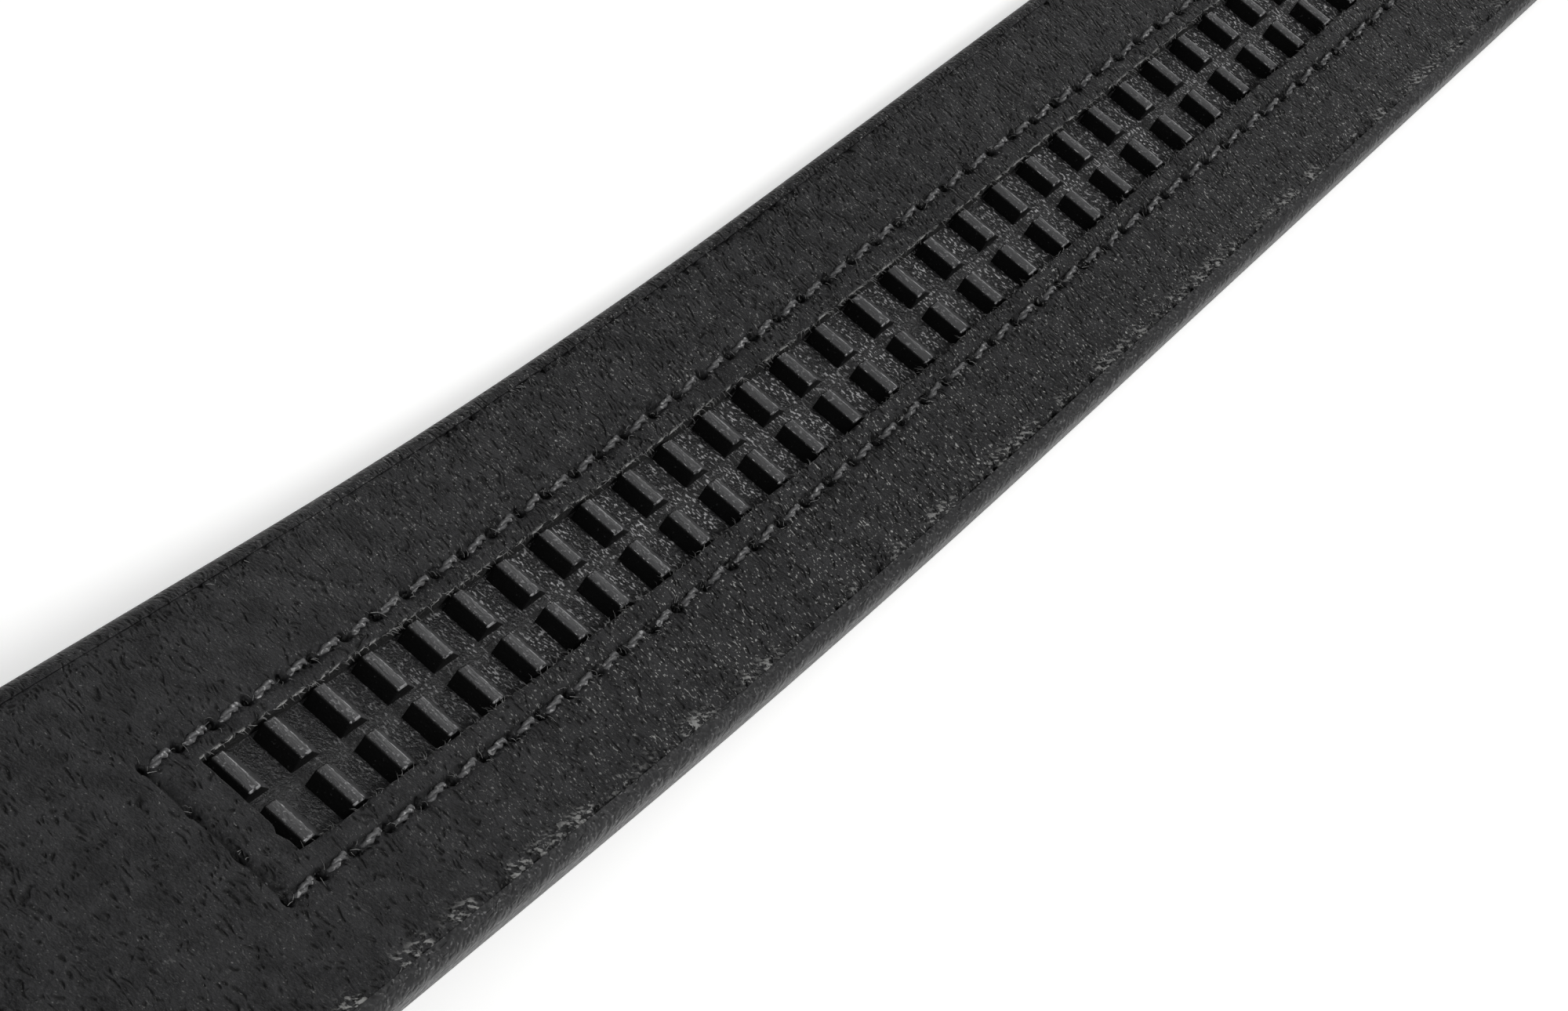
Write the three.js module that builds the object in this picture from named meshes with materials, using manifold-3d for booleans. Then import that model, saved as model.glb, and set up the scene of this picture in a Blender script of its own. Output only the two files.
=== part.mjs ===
// A ratchet belt, unfastened and laid lengthwise on its outer face, with its toothed inner face up.
// Millimetres. X runs from the buckle to the tip, Y across the strap, Z out of the inner face.
// The strap is built along its own length s, from its end in the buckle to its tip, and then bent.
import * as THREE from 'three';
import { mergeVertices } from 'three/addons/utils/BufferGeometryUtils.js';
import Module from 'manifold-3d';

// Strap
const STRAP_LENGTH = 1100;
const STRAP_WIDTH = 35;
const FACE_THICKNESS = 1.5;       // outer leather, turned up at the same thickness round the edges
const BACKING_THICKNESS = 2.4;    // inner leather
const CLEARANCE = 0.3;            // left between pieces that touch
const EDGE_RADIUS = 1.3;          // rounding of the turned edge
const CUT_EDGE = 0.25;            // worn corner along the backing's cut edge
const TIP_RADIUS = 13;            // rounding of the tip's two corners

// Track
const TOOTH_COUNT = 36;
const TOOTH_PITCH = 6.35;
const TOOTH_HEIGHT = 1.7;
const TOOTH_LAND = 1.3;           // flat top behind the steep face
const TOOTH_RAKE = 0.12;          // lean of the steep face
const TOOTH_SLOPE = 2.35;         // length of the back slope, down to the level floor between teeth
const ROW_WIDTH = 3.85;
const ROW_GAP = 1.3;              // level gap between the two rows
const FLANGE_WIDTH = 16;          // thin wings that the leather and the stitches hold
const FLANGE_THICKNESS = 0.55;
const FLANGE_OVERHANG = 5;        // flange past the first and last tooth
const WINDOW_END_GAP = 0.75;      // from the window's end to the first steep face
const PLAIN_TIP = 75;             // from the last tooth to the tip

// Buckle
const BUCKLE_LENGTH = 44;
const BUCKLE_WALL = 2.2;
const BUCKLE_BEVEL = 0.7;
const BUCKLE_CORNER = 4;
const PLATE_THICKNESS = 1.8;
const CHANNEL_SLACK = 0.8;        // room beside and above the tip as it slides through
const CHANNEL_ROOF = 1.4;         // wall between the channel and the clamp pocket
const POCKET_ROOF = 1.3;
const POCKET_DEPTH = 18;          // strap length held in the clamp
const BRIDGE_HEIGHT = 3.4;        // plain housing over the channel, behind the clamp
const BRIDGE_LENGTH = 20;

// Lie of the strap: bends between level stretches
const STEP_ANGLE = THREE.MathUtils.degToRad(11.5);  // down from the clamp to the surface
const WAVE_ANGLE = THREE.MathUtils.degToRad(11.1);  // rise of the low wave beside the track
const WAVE_FOOT = 80;             // length of each arc at the foot of the wave
const WAVE_RISE = 55;             // straight rise and fall
const WAVE_CREST = 110;           // length of the arc over the crest
const WAVE_START_TOOTH = 15.8;    // the wave's foot on the track, counted in teeth from its buckle end
const STEP_LEAD = 8;              // straight out of the clamp before the step

// Sizes that follow
const STRAP_THICKNESS = FACE_THICKNESS + CLEARANCE + BACKING_THICKNESS;
const TRACK_BASE = FACE_THICKNESS + CLEARANCE;
const TOOTH_ROOT = TRACK_BASE + FLANGE_THICKNESS;
const TOOTH_TOP = TOOTH_ROOT + TOOTH_HEIGHT;
const TEETH_WIDTH = 2 * ROW_WIDTH + ROW_GAP;
const TRACK_LENGTH = TOOTH_COUNT * TOOTH_PITCH;
const TRACK_END = STRAP_LENGTH - PLAIN_TIP;
const TRACK_START = TRACK_END - TRACK_LENGTH;
const CHANNEL_WIDTH = STRAP_WIDTH + 2 * CHANNEL_SLACK;
const CHANNEL_HEIGHT = STRAP_THICKNESS + CHANNEL_SLACK;
const POCKET_FLOOR = PLATE_THICKNESS + CHANNEL_HEIGHT + CHANNEL_ROOF;
const CLAMP_HEIGHT = POCKET_FLOOR + CLEARANCE;
const POCKET_HEIGHT = STRAP_THICKNESS + 2 * CLEARANCE;
const BUCKLE_WIDTH = CHANNEL_WIDTH + 2 * BUCKLE_WALL;
const BUCKLE_HEIGHT = POCKET_FLOOR + POCKET_HEIGHT + POCKET_ROOF;

// How finely the solids are cut up
const PAST_FACE = 2;              // how far a cutting solid runs past the face that it cuts
const BEND_STEP = 10;             // spacing of the strap's cross-sections in an arc
const LEVEL_STEP = 120;           // and on a straight stretch
const LEAST_STEP = 1;             // no cross-section lies closer than this to an end
const CORNER_TURNS = [0, 15, 30, 45, 60, 75, 90].map(THREE.MathUtils.degToRad);
const ROUND_PARTS = 3;            // faces in a rounded corner of the strap's section
const MERGE_DISTANCE = 1e-4;

// Colours
const LEATHER_FINISH = { color: 0x2c2c2d, roughness: 0.55, metalness: 0 };
const BACKING_FINISH = { color: 0x303031, roughness: 0.7, metalness: 0 };
const TRACK_FINISH = { color: 0x262627, roughness: 0.6, metalness: 0 };
const BUCKLE_FINISH = { color: 0x5d5e60, roughness: 0.35, metalness: 1 };

const wasm = await Module();
wasm.setup();

// The strap's line, as stretches of a length and a turn, from the clamp to the tip
function layStretches() {
  const drop = CLAMP_HEIGHT;
  const stepArc = drop * STEP_ANGLE / (2 * (1 - Math.cos(STEP_ANGLE)));
  const lead = POCKET_DEPTH + STEP_LEAD;
  const waveLength = 2 * (WAVE_FOOT + WAVE_RISE) + WAVE_CREST;
  const waveEnd = TRACK_START + WAVE_START_TOOTH * TOOTH_PITCH;
  const plain = waveEnd - waveLength - lead - 2 * stepArc;
  return [
    { length: lead, turn: 0 },
    { length: stepArc, turn: -STEP_ANGLE },
    { length: stepArc, turn: STEP_ANGLE },
    { length: plain, turn: 0 },
    { length: WAVE_FOOT, turn: WAVE_ANGLE },
    { length: WAVE_RISE, turn: 0 },
    { length: WAVE_CREST, turn: -2 * WAVE_ANGLE },
    { length: WAVE_RISE, turn: 0 },
    { length: WAVE_FOOT, turn: WAVE_ANGLE },
    { length: STRAP_LENGTH - waveEnd, turn: 0 },
  ];
}
const stretches = layStretches();

// A point of the bent strap, from its place along the flat strap and its height in the strap
function bend(s, height) {
  let x = 0;
  let z = CLAMP_HEIGHT;
  let pitch = 0;
  let left = s;
  for (const [index, { length, turn }] of stretches.entries()) {
    const last = index === stretches.length - 1;
    const run = last ? left : Math.min(left, length);
    const end = pitch + turn * run / length;
    if (turn === 0) {
      x += run * Math.cos(pitch);
      z += run * Math.sin(pitch);
    } else {
      const radius = length / turn;
      x += radius * (Math.sin(end) - Math.sin(pitch));
      z += radius * (Math.cos(pitch) - Math.cos(end));
    }
    pitch = end;
    left -= run;
    if (left <= 0) break;
  }
  return [x - height * Math.sin(pitch), z + height * Math.cos(pitch)];
}

// Places where the strap's cross-sections lie, from a start to the tip. The outline may lie this far
// inside the strap's own. The places are close together in the arcs and round the tip's corners.
function strapStations(from, inset) {
  const radius = TIP_RADIUS - inset;
  const cornerStart = STRAP_LENGTH - inset - radius;
  const places = [];
  let start = 0;
  for (const { length, turn } of stretches) {
    const pieces = Math.ceil(length / (turn === 0 ? LEVEL_STEP : BEND_STEP));
    for (let piece = 0; piece < pieces; piece += 1) {
      places.push(start + length * piece / pieces);
    }
    start += length;
  }
  const between = places.filter((s) => s > from + LEAST_STEP && s < cornerStart - LEAST_STEP);
  return [from, ...between, ...CORNER_TURNS.map((turn) => cornerStart + radius * Math.sin(turn))];
}

function toSolid(geometry) {
  geometry.deleteAttribute('normal');
  geometry.deleteAttribute('uv');
  const merged = mergeVertices(geometry, MERGE_DISTANCE);
  return new wasm.Manifold(new wasm.Mesh({
    numProp: 3,
    vertProperties: new Float32Array(merged.attributes.position.array),
    triVerts: new Uint32Array(merged.index.array),
  }));
}

function toMesh(name, solid, finish) {
  const { vertProperties, triVerts } = solid.getMesh();
  const geometry = new THREE.BufferGeometry();
  geometry.setAttribute('position', new THREE.BufferAttribute(vertProperties, 3));
  geometry.setIndex(new THREE.BufferAttribute(triVerts, 1));
  geometry.computeVertexNormals();
  const mesh = new THREE.Mesh(geometry, new THREE.MeshStandardMaterial(finish));
  mesh.name = name;
  return mesh;
}

// Half of the strap's width at a place, for an outline that lies this far inside the strap's own
function halfWidth(s, inset) {
  const half = STRAP_WIDTH / 2 - inset;
  const radius = TIP_RADIUS - inset;
  const into = s - (STRAP_LENGTH - inset - radius);
  if (into <= 0) return half;
  return half - radius + Math.sqrt(Math.max(radius * radius - into * into, 0));
}

// A section swept along the bent strap to its tip, with its width following the tip's outline
function sweepStrap(section, from, inset) {
  const stations = strapStations(from, inset);
  const geometry = new THREE.ExtrudeGeometry(section, {
    depth: stations.length - 1,
    steps: stations.length - 1,
    curveSegments: ROUND_PARTS,
    bevelEnabled: false,
  });
  const { position } = geometry.attributes;
  const full = halfWidth(from, inset);
  for (let i = 0; i < position.count; i += 1) {
    const s = stations[Math.round(position.getZ(i))];
    const across = position.getX(i) * halfWidth(s, inset) / full;
    const [x, z] = bend(s, position.getY(i));
    position.setXYZ(i, x, across, z);
  }
  return toSolid(geometry);
}

// A section with rounded corners, from one height to another
function roundedSection(half, low, high, radius) {
  const shape = new THREE.Shape();
  shape.moveTo(-half + radius, low);
  shape.lineTo(half - radius, low);
  shape.absarc(half - radius, low + radius, radius, -Math.PI / 2, 0, false);
  shape.lineTo(half, high - radius);
  shape.absarc(half - radius, high - radius, radius, 0, Math.PI / 2, false);
  shape.lineTo(-half + radius, high);
  shape.absarc(-half + radius, high - radius, radius, Math.PI / 2, Math.PI, false);
  shape.lineTo(-half, low + radius);
  shape.absarc(-half + radius, low + radius, radius, Math.PI, 3 * Math.PI / 2, false);
  return shape;
}

function flatSection(half, low, high, cut) {
  const shape = new THREE.Shape();
  shape.moveTo(-half, low);
  shape.lineTo(half, low);
  shape.lineTo(half, high - cut);
  shape.lineTo(half - cut, high);
  shape.lineTo(-half + cut, high);
  shape.lineTo(-half, high - cut);
  return shape;
}

// A side outline of places and heights, bent with the strap and extruded across it
function extrudeAcross(outline, width) {
  const shape = new THREE.Shape(outline.map(([s, height]) => new THREE.Vector2(...bend(s, height))));
  const geometry = new THREE.ExtrudeGeometry(shape, { depth: width, steps: 1, bevelEnabled: false });
  geometry.translate(0, 0, -width / 2);
  geometry.rotateX(Math.PI / 2);
  return toSolid(geometry);
}

// A flat band between two heights, with a corner at each tooth so that it bends as the track does
function bandAcross(from, to, low, high, width) {
  const places = [from];
  for (let tooth = 0; tooth <= TOOTH_COUNT; tooth += 1) {
    places.push(TRACK_START + tooth * TOOTH_PITCH);
  }
  places.push(to);
  const under = places.map((s) => [s, low]);
  const over = places.map((s) => [s, high]).reverse();
  return extrudeAcross([...under, ...over], width);
}

function makeFaceLeather() {
  const half = STRAP_WIDTH / 2;
  const outer = sweepStrap(roundedSection(half, 0, STRAP_THICKNESS, EDGE_RADIUS), 0, 0);
  const inset = FACE_THICKNESS;
  const traySection = flatSection(half - inset, FACE_THICKNESS, STRAP_THICKNESS + PAST_FACE, CUT_EDGE);
  return outer.subtract(sweepStrap(traySection, -PAST_FACE, inset));
}

function makeBackingLeather() {
  const inset = FACE_THICKNESS + CLEARANCE;
  const half = STRAP_WIDTH / 2 - inset;
  const sheet = sweepStrap(flatSection(half, TRACK_BASE, STRAP_THICKNESS, CUT_EDGE), 0, inset);
  const window = bandAcross(
    TRACK_START - WINDOW_END_GAP,
    TRACK_END + WINDOW_END_GAP,
    TRACK_BASE - PAST_FACE,
    STRAP_THICKNESS + PAST_FACE,
    TEETH_WIDTH + 2 * CLEARANCE,
  );
  const flangeRoom = bandAcross(
    TRACK_START - FLANGE_OVERHANG - CLEARANCE,
    TRACK_END + FLANGE_OVERHANG + CLEARANCE,
    TRACK_BASE - PAST_FACE,
    TOOTH_ROOT + CLEARANCE,
    FLANGE_WIDTH + 2 * CLEARANCE,
  );
  return sheet.subtract(window).subtract(flangeRoom);
}

// One tooth of one row: steep face, land and back slope, sunk a little into the strip that carries it
function makeTooth(tooth, side) {
  const s = TRACK_START + tooth * TOOTH_PITCH;
  const foot = TOOTH_ROOT - FLANGE_THICKNESS / 2;
  const block = extrudeAcross([
    [s, foot],
    [s + TOOTH_RAKE + TOOTH_LAND + TOOTH_SLOPE, foot],
    [s + TOOTH_RAKE + TOOTH_LAND + TOOTH_SLOPE, TOOTH_ROOT],
    [s + TOOTH_RAKE + TOOTH_LAND, TOOTH_TOP],
    [s + TOOTH_RAKE, TOOTH_TOP],
    [s, TOOTH_ROOT],
  ], ROW_WIDTH);
  return block.translate(0, side * (ROW_GAP + ROW_WIDTH) / 2, 0);
}

function makeTrack() {
  const strip = bandAcross(
    TRACK_START - FLANGE_OVERHANG,
    TRACK_END + FLANGE_OVERHANG,
    TRACK_BASE,
    TOOTH_ROOT,
    FLANGE_WIDTH,
  );
  const teeth = [];
  for (let tooth = 0; tooth < TOOTH_COUNT; tooth += 1) {
    teeth.push(makeTooth(tooth, -1), makeTooth(tooth, 1));
  }
  return wasm.Manifold.union([strip, ...teeth]);
}

function box(from, to) {
  const size = to.clone().sub(from);
  const geometry = new THREE.BoxGeometry(size.x, size.y, size.z);
  geometry.translate(from.x + size.x / 2, from.y + size.y / 2, from.z + size.z / 2);
  return toSolid(geometry);
}

// A block with rounded corners in plan and a bevel round its top and bottom
function roundedBlock(from, to, corner, bevel) {
  const shape = new THREE.Shape();
  const [x0, x1] = [from.x + bevel, to.x - bevel];
  const [y0, y1] = [from.y + bevel, to.y - bevel];
  const radius = corner - bevel;
  shape.moveTo(x0 + radius, y0);
  shape.lineTo(x1 - radius, y0);
  shape.absarc(x1 - radius, y0 + radius, radius, -Math.PI / 2, 0, false);
  shape.lineTo(x1, y1 - radius);
  shape.absarc(x1 - radius, y1 - radius, radius, 0, Math.PI / 2, false);
  shape.lineTo(x0 + radius, y1);
  shape.absarc(x0 + radius, y1 - radius, radius, Math.PI / 2, Math.PI, false);
  shape.lineTo(x0, y0 + radius);
  shape.absarc(x0 + radius, y0 + radius, radius, Math.PI, 3 * Math.PI / 2, false);
  const geometry = new THREE.ExtrudeGeometry(shape, {
    depth: to.z - from.z - 2 * bevel,
    steps: 1,
    curveSegments: 4,
    bevelEnabled: true,
    bevelSize: bevel,
    bevelThickness: bevel,
    bevelSegments: 2,
  });
  geometry.translate(0, 0, from.z + bevel);
  return toSolid(geometry);
}

function makeBuckle() {
  const mouth = POCKET_DEPTH;
  const back = mouth - BUCKLE_LENGTH;
  const half = BUCKLE_WIDTH / 2;
  const block = roundedBlock(
    new THREE.Vector3(back, -half, 0),
    new THREE.Vector3(mouth, half, BUCKLE_HEIGHT),
    BUCKLE_CORNER,
    BUCKLE_BEVEL,
  );
  const channel = box(
    new THREE.Vector3(back - PAST_FACE, -CHANNEL_WIDTH / 2, PLATE_THICKNESS),
    new THREE.Vector3(mouth + PAST_FACE, CHANNEL_WIDTH / 2, PLATE_THICKNESS + CHANNEL_HEIGHT),
  );
  const pocket = box(
    new THREE.Vector3(-CLEARANCE, -STRAP_WIDTH / 2 - CLEARANCE, POCKET_FLOOR),
    new THREE.Vector3(mouth + PAST_FACE, STRAP_WIDTH / 2 + CLEARANCE, POCKET_FLOOR + POCKET_HEIGHT),
  );
  const bridgeTop = PLATE_THICKNESS + CHANNEL_HEIGHT + BRIDGE_HEIGHT;
  const overBridge = box(
    new THREE.Vector3(back - PAST_FACE, -half - PAST_FACE, bridgeTop),
    new THREE.Vector3(back + BRIDGE_LENGTH, half + PAST_FACE, BUCKLE_HEIGHT + PAST_FACE),
  );
  return block.subtract(channel).subtract(pocket).subtract(overBridge);
}

const belt = new THREE.Group();
belt.add(toMesh('face_leather', makeFaceLeather(), LEATHER_FINISH));
belt.add(toMesh('backing_leather', makeBackingLeather(), BACKING_FINISH));
belt.add(toMesh('ratchet_track', makeTrack(), TRACK_FINISH));
belt.add(toMesh('buckle', makeBuckle(), BUCKLE_FINISH));

// The middle of the belt's length stands over the origin
const tipEnd = bend(STRAP_LENGTH, 0)[0];
const buckleEnd = POCKET_DEPTH - BUCKLE_LENGTH;
belt.position.x = -(tipEnd + buckleEnd) / 2;

export default belt;
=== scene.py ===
import math
import random

import bmesh
import bpy
from mathutils import Matrix, Vector, noise


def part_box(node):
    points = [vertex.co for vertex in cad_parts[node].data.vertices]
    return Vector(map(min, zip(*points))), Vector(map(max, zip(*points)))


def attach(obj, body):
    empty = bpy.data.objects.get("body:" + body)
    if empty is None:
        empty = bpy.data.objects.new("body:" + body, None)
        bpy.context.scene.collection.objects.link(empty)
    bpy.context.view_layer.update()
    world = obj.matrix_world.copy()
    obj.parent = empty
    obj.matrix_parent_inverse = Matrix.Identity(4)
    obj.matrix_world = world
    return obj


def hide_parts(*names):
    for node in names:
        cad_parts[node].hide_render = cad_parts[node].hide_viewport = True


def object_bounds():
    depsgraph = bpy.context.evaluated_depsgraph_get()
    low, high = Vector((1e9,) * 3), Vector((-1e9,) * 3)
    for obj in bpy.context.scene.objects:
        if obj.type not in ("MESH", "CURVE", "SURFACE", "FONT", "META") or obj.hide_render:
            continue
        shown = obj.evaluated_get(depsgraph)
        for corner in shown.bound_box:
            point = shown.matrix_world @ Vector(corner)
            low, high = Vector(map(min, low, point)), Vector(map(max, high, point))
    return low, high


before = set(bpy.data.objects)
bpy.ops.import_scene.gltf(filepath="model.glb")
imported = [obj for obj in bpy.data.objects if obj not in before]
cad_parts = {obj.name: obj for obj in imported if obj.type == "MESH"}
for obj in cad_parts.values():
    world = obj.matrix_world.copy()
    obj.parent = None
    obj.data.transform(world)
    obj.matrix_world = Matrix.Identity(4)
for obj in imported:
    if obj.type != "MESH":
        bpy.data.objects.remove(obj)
cad_low, cad_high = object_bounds()

MM = 0.001

# Strap
STRAP_LENGTH = 1100 * MM
STRAP_WIDTH = 35 * MM
FACE_THICKNESS = 1.5 * MM
CLEARANCE = 0.3 * MM
STRAP_THICKNESS = 4.2 * MM
EDGE_RADIUS = 1.3 * MM
EDGE_SEGMENTS = 7
TIP_RADIUS = 13 * MM
CORNER_TURNS = [math.radians(angle) for angle in range(0, 91, 9)]   # steps round a corner of the tip
SEAM_HALF = STRAP_WIDTH / 2 - FACE_THICKNESS                        # middle of the strap to its long seams
BACKING_INSET = FACE_THICKNESS + 0.01 * MM  # the leathers meet at the seam, with only a hairline between
TRACK_BASE = FACE_THICKNESS + CLEARANCE
NEAR_FACE = STRAP_THICKNESS - 0.1 * MM     # above this, a flat shape's vertex belongs to the inner face
BEND_STEP = 5 * MM                         # length of the straight pieces that make up a plain bend

# Track
TOOTH_COUNT = 36
TOOTH_PITCH = 6.35 * MM
TOOTH_HEIGHT = 1.7 * MM
TOOTH_LAND = 1.3 * MM
TOOTH_RAKE = 0.12 * MM
TOOTH_SLOPE = 2.35 * MM
TOOTH_EDGE = 0.16 * MM
ROW_WIDTH = 3.85 * MM
ROW_GAP = 1.3 * MM
FLANGE_WIDTH = 16 * MM
FLANGE_THICKNESS = 0.55 * MM
FLANGE_OVERHANG = 5 * MM
WINDOW_END_GAP = 0.75 * MM
PLAIN_TIP = 75 * MM
TOOTH_ROOT = TRACK_BASE + FLANGE_THICKNESS
TOOTH_TOP = TOOTH_ROOT + TOOTH_HEIGHT
TRACK_END = STRAP_LENGTH - PLAIN_TIP
TRACK_START = TRACK_END - TOOTH_COUNT * TOOTH_PITCH
WINDOW_START = TRACK_START - WINDOW_END_GAP
WINDOW_STOP = TRACK_END + WINDOW_END_GAP
WINDOW_HALF = ROW_WIDTH + ROW_GAP / 2 + CLEARANCE

# Stitches
STITCH_PITCH = 4.2 * MM
END_STITCHES = 3                           # stitches in the row across each end of the window
STITCH_START = TRACK_START - 5.4 * MM      # the row across the window's end
STITCH_STOP = TRACK_END + 5.4 * MM
PLY_RADIUS = 0.2 * MM
PLY_TWIST = 2.6 * MM                       # length of one full turn of the two plies
PLY_APART = 0.72                           # share of a ply's radius from the thread's middle
END_ROW_SUNK = 0.58 * MM                   # the end rows were sewn tighter than the long ones
HOLE_RADIUS = 0.36 * MM
HOLE_DEPTH = 1.0 * MM
HOLE_BIN = 2 * MM                          # how far a needle hole's dimple can reach
GROOVE_DEPTH = 0.22 * MM
GROOVE_WIDTH = 0.5 * MM
GROOVE_SHADE = (0.38 * MM, 0.17 * MM)      # place and width of the painted shade line beside the -Y row
SEEN_FROM = 745 * MM                       # from here on, the photograph shows the strap
NICK = (WINDOW_START, -2.9 * MM)           # where the knife slipped in the window's end
NICK_SIZE = 0.5 * MM
NICK_DEPTH = 0.55 * MM

# Wear of the inner leather
WEAR_LENGTH = 55 * MM                      # from the window's end to fully rubbed leather
CUT_STEPS = (0.05, 0.13, 0.26, 0.45)       # millimetres from a cut edge to the grid lines that round it
PIT_REACH = 0.6 * MM
PIT_DEPTH = 0.9 * MM
SWAY_REACH = 1.5 * MM                      # how far from the window its cut edge pulls the leather about
FIBRE_RADIUS = 0.028 * MM

# Line of the strap
CLAMP_HEIGHT = 8.5 * MM
CLAMP_LEAD = 26 * MM
STEP_ANGLE = math.radians(11.5)
WAVE_ANGLE = math.radians(11.1)
WAVE_FOOT = 80 * MM
WAVE_RISE = 55 * MM
WAVE_CREST = 110 * MM
WAVE_START_TOOTH = 15.8

# Camera, fitted to the photograph
LENS = 83.89
SENSOR = 36
CAMERA_AZIMUTH = 192.13
CAMERA_HEIGHT = 43.83
CAMERA_ROLL = math.radians(32.19)
CAMERA_DISTANCE = 308.77 * MM
AIM_TOOTH = 13
AIM_OFFSET = Vector((-13.36 * MM, -6.04 * MM, 0))

FLOOR_REACH = 40                           # metres: far enough that no view meets its edge

# Refraction of the clear outermost layer
LEATHER_IOR = 1.5
NYLON_IOR = 1.53


# The strap's line

def lay_stretches():
    """Each stretch as its start, length and turn, and the place and pitch where it starts."""
    step_arc = CLAMP_HEIGHT * STEP_ANGLE / (2 * (1 - math.cos(STEP_ANGLE)))
    wave_end = TRACK_START + WAVE_START_TOOTH * TOOTH_PITCH
    wave = 2 * (WAVE_FOOT + WAVE_RISE) + WAVE_CREST
    plain = wave_end - wave - CLAMP_LEAD - 2 * step_arc
    runs = [
        (CLAMP_LEAD, 0), (step_arc, -STEP_ANGLE), (step_arc, STEP_ANGLE), (plain, 0),
        (WAVE_FOOT, WAVE_ANGLE), (WAVE_RISE, 0), (WAVE_CREST, -2 * WAVE_ANGLE),
        (WAVE_RISE, 0), (WAVE_FOOT, WAVE_ANGLE), (STRAP_LENGTH - wave_end, 0),
    ]
    stretches = []
    start, x, z, pitch = 0.0, 0.0, CLAMP_HEIGHT, 0.0
    for length, turn in runs:
        stretches.append((start, length, turn, x, z, pitch))
        x, z, pitch = walk(x, z, pitch, length, turn, length)
        start += length
    return stretches


def walk(x, z, pitch, length, turn, run):
    """The place and pitch after a run along a stretch."""
    if turn == 0:
        return x + run * math.cos(pitch), z + run * math.sin(pitch), pitch
    radius = length / turn
    end = pitch + run / radius
    return (
        x + radius * (math.sin(end) - math.sin(pitch)),
        z + radius * (math.cos(pitch) - math.cos(end)),
        end,
    )


stretches = lay_stretches()


def bend(s, height):
    """The X and Z of a place at this length and height on the flat strap, once it is bent."""
    for start, length, turn, x, z, pitch in reversed(stretches):
        if s >= start or start == 0:
            x, z, pitch = walk(x, z, pitch, length, turn, s - start)
            return x - height * math.sin(pitch), z + height * math.cos(pitch)


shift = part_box("face_leather")[1].x - bend(STRAP_LENGTH, 0)[0]


def laid(flat):
    """A point of the bent strap, from its place on the flat one."""
    x, z = bend(flat[0], flat[2])
    return Vector((x + shift, flat[1], z))


# Materials

def hex_colour(code):
    """An sRGB hex value as linear red, green, blue and alpha."""
    channels = [int(code[i:i + 2], 16) / 255 for i in (1, 3, 5)]
    return [c / 12.92 if c <= 0.04045 else ((c + 0.055) / 1.055) ** 2.4 for c in channels] + [1]


def add(tree, kind, inputs=None, **settings):
    """Adds one node, with its settings, values and links."""
    node = tree.nodes.new(kind)
    for key, value in settings.items():
        setattr(node, key, value)
    for key, value in (inputs or {}).items():
        if isinstance(value, bpy.types.NodeSocket):
            tree.links.new(value, node.inputs[key])
        else:
            node.inputs[key].default_value = value
    return node


def new_material(name):
    """A material with its node tree and its one shader."""
    material = bpy.data.materials.new(name)
    material.use_nodes = True
    tree = material.node_tree
    tree.nodes.clear()
    output = add(tree, "ShaderNodeOutputMaterial")
    shader = add(tree, "ShaderNodeBsdfPrincipled")
    tree.links.new(shader.outputs["BSDF"], output.inputs["Surface"])
    return material, tree, shader


def pattern_space(tree, size, turn=(0, 0, 0)):
    """Object coordinates turned and counted in cells of this size, in millimetres along X, Y and Z."""
    place = add(tree, "ShaderNodeTexCoord").outputs["Object"]
    turned = add(tree, "ShaderNodeMapping", {"Vector": place, "Rotation": turn}).outputs["Vector"]
    scale = [1 / (MM * value) for value in size]
    return add(tree, "ShaderNodeMapping", {"Vector": turned, "Scale": scale}).outputs["Vector"]


def speckle(tree, size, turn=(0, 0, 0), detail=2.0, rough=0.5):
    """Noise between 0 and 1 with cells of this size in millimetres."""
    space = pattern_space(tree, size, turn)
    made = add(tree, "ShaderNodeTexNoise", {
        "Vector": space, "Scale": 1.0, "Detail": detail, "Roughness": rough,
    })
    return made.outputs["Fac"]


def between(tree, value, low, high, to_low=0.0, to_high=1.0):
    """A smooth step from one output at the low value to the other at the high one."""
    made = add(tree, "ShaderNodeMapRange", {
        "Value": value, "From Min": low, "From Max": high, "To Min": to_low, "To Max": to_high,
    }, interpolation_type="SMOOTHSTEP")
    return made.outputs["Result"]


def calc(tree, first, second, operation="ADD"):
    """One step of arithmetic on two values or sockets."""
    return add(tree, "ShaderNodeMath", {0: first, 1: second}, operation=operation).outputs["Value"]


def blended(tree, factor, first, second):
    """The first colour turning into the second as the factor rises."""
    made = add(tree, "ShaderNodeMix", {0: factor, 6: first, 7: second}, data_type="RGBA")
    return made.outputs[2]


def raise_surface(tree, shader, height, depth):
    """Bump whose full height is this many millimetres."""
    made = add(tree, "ShaderNodeBump", {"Height": height, "Distance": depth * MM, "Strength": 1.0})
    tree.links.new(made.outputs["Normal"], shader.inputs["Normal"])


def swayed(tree, space, size, amount):
    """A pattern space whose lines sway by this many cells over this many millimetres."""
    sway = add(tree, "ShaderNodeTexNoise", {
        "Vector": pattern_space(tree, (size, size, size)), "Scale": 1.0, "Detail": 1.0,
    }).outputs["Color"]
    offset = add(tree, "ShaderNodeVectorMath", {0: sway, "Scale": amount}, operation="SCALE")
    return add(tree, "ShaderNodeVectorMath", {0: space, 1: offset.outputs["Vector"]}).outputs["Vector"]


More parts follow.
